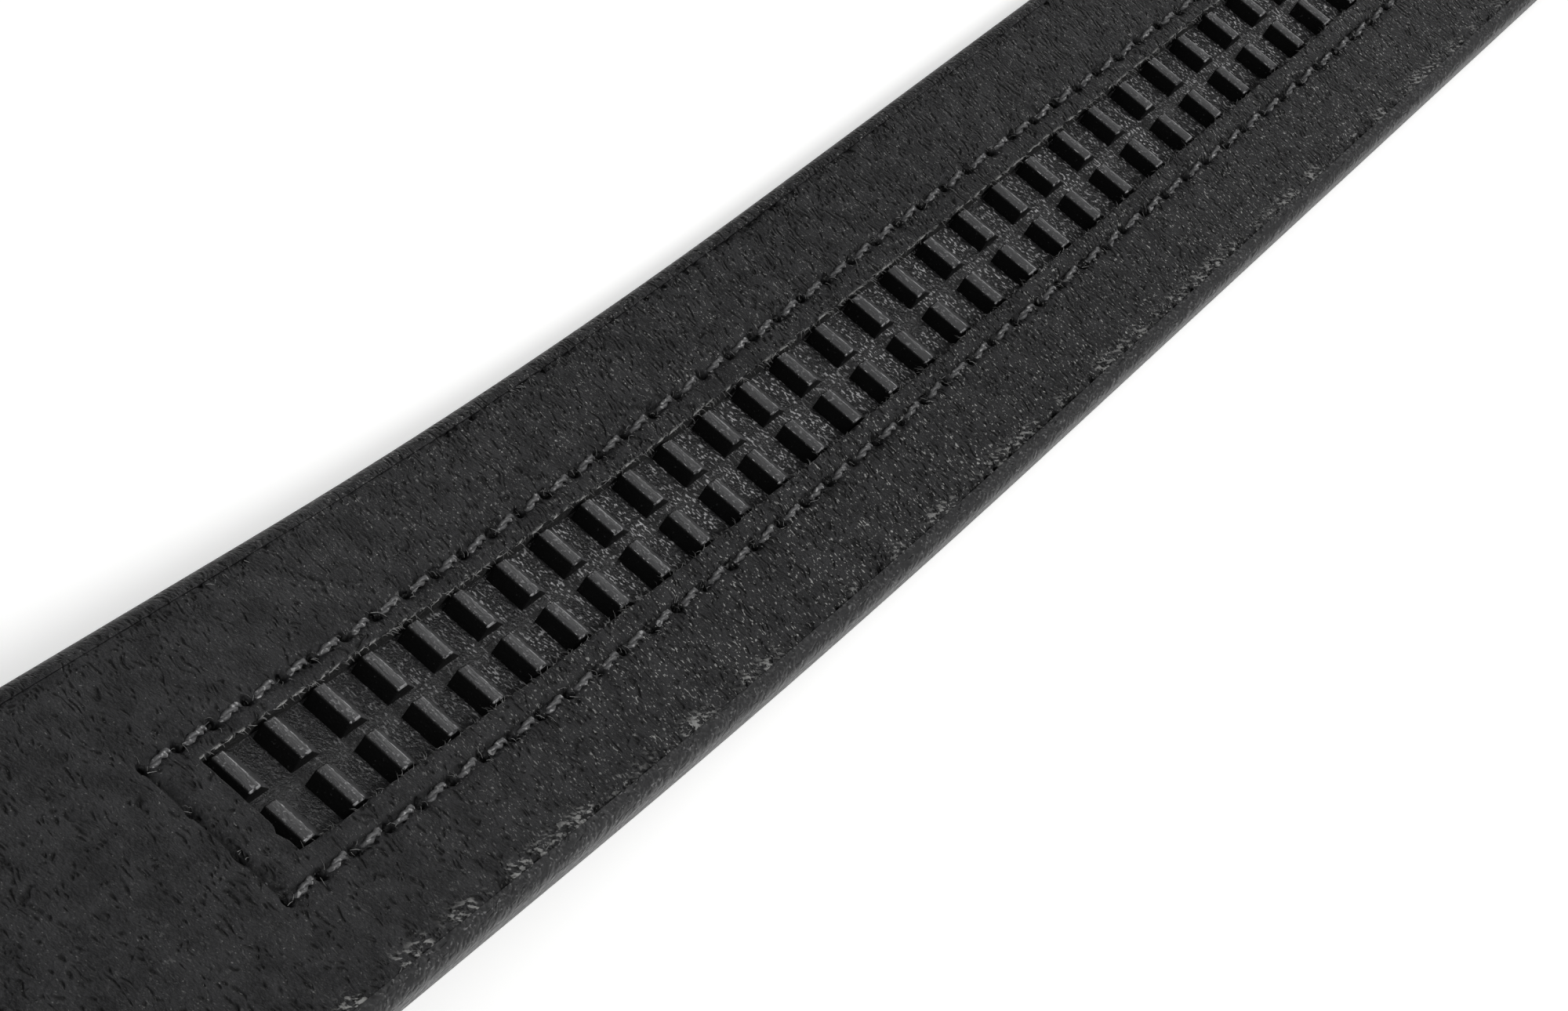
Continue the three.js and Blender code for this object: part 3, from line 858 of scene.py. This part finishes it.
def make_backing_leather(material, raw_edge):
    """The inner leather: a sheet with the long window, puckered where it is sewn."""
    stations, columns = backing_stations(), backing_columns()
    full = STRAP_WIDTH / 2 - BACKING_INSET
    bm = bmesh.new()
    made = bmesh.ops.create_grid(
        bm, x_segments=len(stations) - 1, y_segments=len(columns) - 1, size=1,
    )
    for vertex in made["verts"]:
        s = stations[round((vertex.co.x + 1) / 2 * (len(stations) - 1))]
        y = columns[round((vertex.co.y + 1) / 2 * (len(columns) - 1))]
        vertex.co = (s, y, STRAP_THICKNESS)
    window = [face for face in bm.faces if window_gap(*face.calc_center_median()[:2]) < 0]
    bmesh.ops.delete(bm, geom=window, context="FACES")
    rim = [edge for edge in bm.edges if edge.is_boundary]
    for height in (STRAP_THICKNESS - 0.7 * MM, TRACK_BASE):
        grown = bmesh.ops.extrude_edge_only(bm, edges=rim)
        for vertex in new_verts(grown):
            vertex.co.z = height
        edges = [item for item in grown["geom"] if isinstance(item, bmesh.types.BMEdge)]
        rim = [edge for edge in edges if edge.is_boundary]
    bmesh.ops.triangle_fill(bm, edges=rim, use_beauty=True, normal=(0, 0, -1))
    bmesh.ops.recalc_face_normals(bm, faces=bm.faces[:])
    for face in bm.faces:
        middle = face.calc_center_median()
        if abs(face.normal.z) < 0.5 and window_gap(middle.x, middle.y) < 0.1 * MM:
            face.material_index = 1
    mark_surface(bm)
    for vertex in bm.verts:
        s, y, z = vertex.co
        half = half_width(s, BACKING_INSET)
        y *= half / full
        gap = window_gap(s, y)
        if z > NEAR_FACE:
            z -= backing_fall(s, y, half)
        if z > TRACK_BASE + 0.1 * MM and gap < SWAY_REACH:
            sway = 1 - gap / SWAY_REACH
            y += sway * (wander(s, y, 6, 0.16, 4.5) + wander(s, y, 0.9, 0.07, 9.5))
            s += sway * wander(s, y, 1.1, 0.12, 6.5)
            s -= NICK_DEPTH * bell(math.hypot(s - NICK[0], y - NICK[1]), NICK_SIZE)
        vertex.co = (s, y, z)
    return finish_piece(
        bm, "backing_leather_sheet", [material, raw_edge], ["backing_leather"],
        sharp=math.radians(70),
    )


def stray_fibre(bm, root, way, length, lift, curl):
    """One loose fibre from its root, leaning this way over the surface."""
    way = Vector(way).normalized()
    side = Vector((-way.y, way.x, 0))
    up = Vector((0, 0, 1))

    def centre(u):
        place = Vector(root) + way * length * u + side * curl * u * u
        return place + up * lift * math.sin(math.pi * min(u, 0.8)), side, up

    tube(bm, centre, lambda u: FIBRE_RADIUS * (1 - 0.6 * u), 4, 3)


def make_fibres(material):
    """Fibres that the knife and the needle opened: along the window, at the holes and on the seams."""
    dice = random.Random(23)
    bm = bmesh.new()

    def scatter(s, y, toward, longest):
        way = (dice.uniform(-1, 1), toward * dice.uniform(0.1, 1), 0)
        stray_fibre(
            bm, (s, y, NEAR_FACE), way, dice.uniform(0.25, longest) * MM,
            dice.uniform(0.03, 0.22) * MM, dice.uniform(-0.25, 0.25) * MM,
        )

    for side, each in ((1, 3.2), (-1, 2.0)):
        for _ in range(round((WINDOW_STOP - WINDOW_START) / MM * each)):
            s = WINDOW_START + (WINDOW_STOP - WINDOW_START) * dice.random()
            scatter(s, side * (WINDOW_HALF + dice.uniform(0, 0.25) * MM), -side, 0.8)
    for s, y in all_holes:
        for _ in range(3):
            angle = dice.uniform(0, math.tau)
            reach = HOLE_RADIUS * dice.uniform(1.0, 1.5)
            scatter(s + reach * math.cos(angle), y + reach * math.sin(angle), dice.choice((-1, 1)), 0.9)
    for side, patches in ((-1, 90), (1, 40)):
        for _ in range(patches):
            middle = dice.uniform(60 * MM, STRAP_LENGTH - 30 * MM)
            spread = dice.uniform(0.5, 3) * MM
            for _ in range(dice.randint(3, 9)):
                s = middle + dice.gauss(0, 1) * spread
                scatter(s, side * (SEAM_HALF + dice.uniform(-0.25, 0.1) * MM), -side, 0.9)
    close_tubes(bm)
    return finish_piece(bm, "stray_fibres", [material], sharp=math.radians(80))


# Track

def mould_tooth(bm, s, y):
    """One tooth: steep face, land and back slope, with softened edges."""
    foot = TOOTH_ROOT - FLANGE_THICKNESS / 2
    side_view = [
        (0, foot), (0, TOOTH_ROOT), (TOOTH_RAKE, TOOTH_TOP), (TOOTH_RAKE + TOOTH_LAND, TOOTH_TOP),
        (TOOTH_RAKE + TOOTH_LAND + TOOTH_SLOPE, TOOTH_ROOT), (TOOTH_RAKE + TOOTH_LAND + TOOTH_SLOPE, foot),
    ]
    face = bm.faces.new([bm.verts.new((s + u, y - ROW_WIDTH / 2, z)) for u, z in side_view])
    far = new_verts(bmesh.ops.extrude_face_region(bm, geom=[face], use_keep_orig=True))
    bmesh.ops.translate(bm, verts=far, vec=(0, ROW_WIDTH, 0))
    verts = far + list(face.verts)
    faces = {f for vertex in verts for f in vertex.link_faces}
    bmesh.ops.recalc_face_normals(bm, faces=list(faces))
    edges = {e for vertex in verts for e in vertex.link_edges}
    above = TOOTH_ROOT + 0.1 * MM
    seen = [e for e in edges if max(e.verts[0].co.z, e.verts[1].co.z) > above]
    bmesh.ops.bevel(
        bm, geom=seen, offset=TOOTH_EDGE, segments=3, profile=0.5, affect="EDGES", material=-1,
    )


def make_track(spark, smooth, edge_glint, shaded):
    """The moulded strip: a hidden flange, a level floor and two rows of teeth."""
    bm = bmesh.new()
    start, stop = TRACK_START - FLANGE_OVERHANG, TRACK_END + FLANGE_OVERHANG
    made = bmesh.ops.create_cube(bm, size=1)
    for vertex in made["verts"]:
        vertex.co.x = stop if vertex.co.x > 0 else start
        vertex.co.y *= FLANGE_WIDTH
        vertex.co.z = TOOTH_ROOT if vertex.co.z > 0 else TRACK_BASE
    cut_lengthwise(bm, steps(start, stop, 3 * MM)[1:])
    for tooth in range(TOOTH_COUNT):
        for side in (-1, 1):
            mould_tooth(bm, TRACK_START + tooth * TOOTH_PITCH, side * (ROW_GAP + ROW_WIDTH) / 2)
    bm.normal_update()
    smooth_index, edge_glint_index, shaded_index = 1, 2, 3
    # Lands and back slopes take the lighter nylon as painted sheen, upper edges the painted highlight, and
    # steep walls and sides the near black painted shade.
    for face in bm.faces:
        high = face.calc_center_median().z > TOOTH_TOP - 0.15 * MM
        land = high and face.normal.z > 0.99
        back_slope = not high and face.normal.x > 0.4 and face.normal.z > 0.5
        if land or back_slope:
            face.material_index = smooth_index
        elif high and (face.normal.x > 0.2 or face.normal.y < -0.2):
            face.material_index = edge_glint_index
        elif face.normal.x < -0.5 or abs(face.normal.y) > 0.5:
            face.material_index = shaded_index
    return finish_piece(
        bm, "ratchet_strip", [spark, smooth, edge_glint, shaded], ["ratchet_track"],
        sharp=math.radians(30),
    )


# Buckle

def make_buckle(material):
    """The plain cast buckle of the solids, with every edge eased as a tumbled casting's is."""
    bm = bmesh.new()
    bm.from_mesh(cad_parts["buckle"].data)
    bmesh.ops.remove_doubles(bm, verts=bm.verts[:], dist=0.001 * MM)
    bmesh.ops.dissolve_limit(bm, angle_limit=math.radians(1), verts=bm.verts[:], edges=bm.edges[:])
    crisp = [
        e for e in bm.edges
        if len(e.link_faces) == 2 and e.calc_face_angle() > math.radians(35)
    ]
    bmesh.ops.bevel(
        bm, geom=crisp, offset=0.35 * MM, segments=4, profile=0.5, affect="EDGES", material=-1,
        clamp_overlap=True,
    )
    return finish_piece(
        bm, "cast_buckle", [material], ["buckle"], sharp=math.radians(28),
        flat_piece=False,
    )


# Stage, light and camera

def make_floor():
    """A pale matt floor that shines a little of itself, so that it stays as white as the photograph's."""
    material, _, shader = new_material("pale_floor")
    shader.inputs["Base Color"].default_value = hex_colour("#f4f4f3")
    shader.inputs["Roughness"].default_value = 0.9
    shader.inputs["Specular IOR Level"].default_value = 0.2
    shader.inputs["Emission Color"].default_value = hex_colour("#ffffff")
    shader.inputs["Emission Strength"].default_value = 0.45
    bm = bmesh.new()
    bmesh.ops.create_grid(bm, x_segments=1, y_segments=1, size=FLOOR_REACH)
    bmesh.ops.translate(bm, verts=bm.verts[:], vec=(0, 0, cad_low.z))
    mesh = bpy.data.meshes.new("floor")
    bm.to_mesh(mesh)
    bm.free()
    mesh.materials.append(material)
    floor = bpy.data.objects.new("floor", mesh)
    bpy.context.scene.collection.objects.link(floor)


def direction(azimuth, height):
    """The direction at this azimuth and height in degrees."""
    a, h = math.radians(azimuth), math.radians(height)
    return Vector((math.cos(h) * math.cos(a), math.cos(h) * math.sin(a), math.sin(h)))


def place_light(data, azimuth, height, distance):
    """Puts a light at this azimuth and height in degrees, shining at the belt's middle."""
    lamp = bpy.data.objects.new(data.name, data)
    bpy.context.scene.collection.objects.link(lamp)
    way = direction(azimuth, height)
    lamp.location = way * distance
    lamp.rotation_euler = way.to_track_quat("Z", "Y").to_euler()


def far_light(name, azimuth, height, spread, strength):
    """A large soft source so far off that it lights the belt's whole length alike."""
    data = bpy.data.lights.new(name, "SUN")
    data.angle = math.radians(spread)
    data.energy = strength
    place_light(data, azimuth, height, 3)


def make_light():
    """A dim white world that the camera sees as white, two far lights and one panel overhead."""
    world = bpy.data.worlds.new("studio")
    world.use_nodes = True
    tree = world.node_tree
    seen = add(tree, "ShaderNodeLightPath").outputs["Is Camera Ray"]
    tree.links.new(between(tree, seen, 0, 1, 0.04, 0.95), tree.nodes["Background"].inputs["Strength"])
    tree.nodes["Background"].inputs["Color"].default_value = hex_colour("#ffffff")
    bpy.context.scene.world = world
    far_light("key_light", -62, 50, 24, 1.5)
    far_light("back_light", 8, 13, 34, 0.36)
    ceiling = bpy.data.lights.new("ceiling_panel", "AREA")
    ceiling.shape = "SQUARE"
    ceiling.size = 3.6
    ceiling.energy = 36
    place_light(ceiling, 0, 90, 2.8)
    bpy.context.scene.view_settings.view_transform = "Standard"


def make_camera(aim):
    """The photograph's camera, rolled about its own line of sight."""
    data = bpy.data.cameras.new("camera")
    data.lens = LENS
    data.sensor_width = SENSOR
    data.clip_start = 0.01
    camera = bpy.data.objects.new("camera", data)
    bpy.context.scene.collection.objects.link(camera)
    back = direction(CAMERA_AZIMUTH, CAMERA_HEIGHT)
    right = (-back).cross(Vector((0, 0, 1))).normalized()
    up = right.cross(-back)
    turned = right * math.cos(CAMERA_ROLL) + up * math.sin(CAMERA_ROLL)
    turned_up = -right * math.sin(CAMERA_ROLL) + up * math.cos(CAMERA_ROLL)
    camera.matrix_world = Matrix.Translation(aim + back * CAMERA_DISTANCE) @ Matrix((
        (turned.x, turned_up.x, back.x, 0),
        (turned.y, turned_up.y, back.y, 0),
        (turned.z, turned_up.z, back.z, 0),
        (0, 0, 0, 1),
    ))
    bpy.context.scene.camera = camera


aim = laid((TRACK_START + AIM_TOOTH * TOOTH_PITCH, 0, TOOTH_TOP)) + AIM_OFFSET
make_camera(aim)
make_floor()
make_light()

split_leather = backing_finish()
make_face_leather(face_finish(), split_leather)
make_backing_leather(split_leather, raw_edge_finish())
make_track(floor_finish(), land_finish(), edge_glint_finish(), shadow_finish())
make_stitches(thread_finish())
make_fibres(fibre_finish())

make_buckle(nickel_finish())
